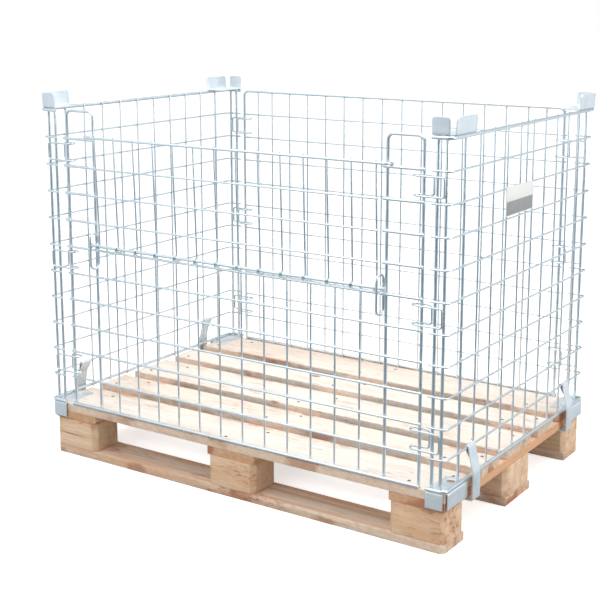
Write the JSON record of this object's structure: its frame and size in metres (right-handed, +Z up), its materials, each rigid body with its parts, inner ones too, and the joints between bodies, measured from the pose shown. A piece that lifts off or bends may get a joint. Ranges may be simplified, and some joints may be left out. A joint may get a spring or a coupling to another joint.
{
  "type": "wire mesh container",
  "caption": "Collapsible wire mesh storage container with a drop-down front gate, standing on a flat wooden pallet",
  "frame": {"origin": "centre of the pallet's underside, on the floor", "axes": "+X along the pallet to the right-hand end, -Y toward the drop gate, +Z up"},
  "size_m": [1.239, 0.8335, 0.9881],
  "materials": {
    "deck_wood": "sawn pine, untreated",
    "block_wood": "pressed wood blocks, darker than the boards",
    "nail_steel": "dull steel nail heads",
    "zinc_wire": "bright zinc-plated drawn wire",
    "zinc_sheet": "zinc-plated pressed sheet, satin",
    "label_face": "plain painted plate, pale over grey, no text"
  },
  "bodies": {
    "frame": {"deck_board_1": "deck_wood", "deck_board_2": "deck_wood", "deck_board_3": "deck_wood", "deck_board_4": "deck_wood", "deck_board_5": "deck_wood", "cross_board_left": "deck_wood", "cross_board_middle": "deck_wood", "cross_board_right": "deck_wood", "bottom_board_front": "deck_wood", "bottom_board_middle": "deck_wood", "bottom_board_back": "deck_wood", "blocks_left": "block_wood", "blocks_middle": "block_wood", "blocks_right": "block_wood", "pallet_nails": "nail_steel", "end_bottom_rail_left": "zinc_wire", "end_top_rail_left": "zinc_wire", "end_level_wires_left": "zinc_wire", "end_uprights_left": "zinc_wire", "corner_posts_left": "zinc_wire", "end_bottom_rail_right": "zinc_wire", "end_top_rail_right": "zinc_wire", "end_level_wires_right": "zinc_wire", "end_uprights_right": "zinc_wire", "corner_posts_right": "zinc_wire", "hinge_rings_front_left": "zinc_wire", "hinge_rings_front_right": "zinc_wire", "hinge_rings_back_left": "zinc_wire", "hinge_rings_back_right": "zinc_wire", "front_ladder_left": "zinc_wire", "front_ladder_right": "zinc_wire", "front_rungs": "zinc_wire", "front_level_wires": "zinc_wire", "front_sill_rod": "zinc_wire", "front_bottom_rail": "zinc_wire", "front_uprights": "zinc_wire", "gate_guide_rings": "zinc_wire", "back_frame": "zinc_wire", "back_level_wires": "zinc_wire", "back_bottom_rail": "zinc_wire", "back_uprights": "zinc_wire", "shoe_front_left": "zinc_sheet", "shoe_front_right": "zinc_sheet", "shoe_back_left": "zinc_sheet", "shoe_back_right": "zinc_sheet", "bracket_front_left": "zinc_sheet", "bracket_front_right": "zinc_sheet", "bracket_back_left": "zinc_sheet", "bracket_back_right": "zinc_sheet", "label_clips": "zinc_sheet", "label_plate": "label_face"},
    "gate_rod": {"gate_pivot_rod": "zinc_wire"},
    "gate": {"gate_top_rod": "zinc_wire", "gate_cross_wires": "zinc_wire", "gate_uprights": "zinc_wire"},
    "clamp_front_left": {"clamp_front_left": "zinc_sheet"},
    "clamp_front_right": {"clamp_front_right": "zinc_sheet"},
    "clamp_back_left": {"clamp_back_left": "zinc_sheet"},
    "clamp_back_right": {"clamp_back_right": "zinc_sheet"}
  },
  "joints": [
    {"name": "gate_lift", "type": "slide", "parent": "frame", "child": "gate_rod", "axis": [0, 0, 1], "range_m": [0, 0.02]},
    {"name": "gate_fold", "type": "hinge", "parent": "gate_rod", "child": "gate", "pos_m": [0, -0.4045, 0.5965], "axis": [1, 0, 0], "range_deg": [0, 172]},
    {"name": "clamp_front_left_swing", "type": "hinge", "parent": "frame", "child": "clamp_front_left", "pos_m": [-0.6, -0.278, 0.2235], "axis": [0, 1, 0], "range_deg": [0, 110]},
    {"name": "clamp_front_right_swing", "type": "hinge", "parent": "frame", "child": "clamp_front_right", "pos_m": [0.6, -0.278, 0.2235], "axis": [0, -1, 0], "range_deg": [0, 110]},
    {"name": "clamp_back_left_swing", "type": "hinge", "parent": "frame", "child": "clamp_back_left", "pos_m": [-0.6, 0.278, 0.2235], "axis": [0, 1, 0], "range_deg": [0, 110]},
    {"name": "clamp_back_right_swing", "type": "hinge", "parent": "frame", "child": "clamp_back_right", "pos_m": [0.6, 0.278, 0.2235], "axis": [0, -1, 0], "range_deg": [0, 110]}
  ]
}
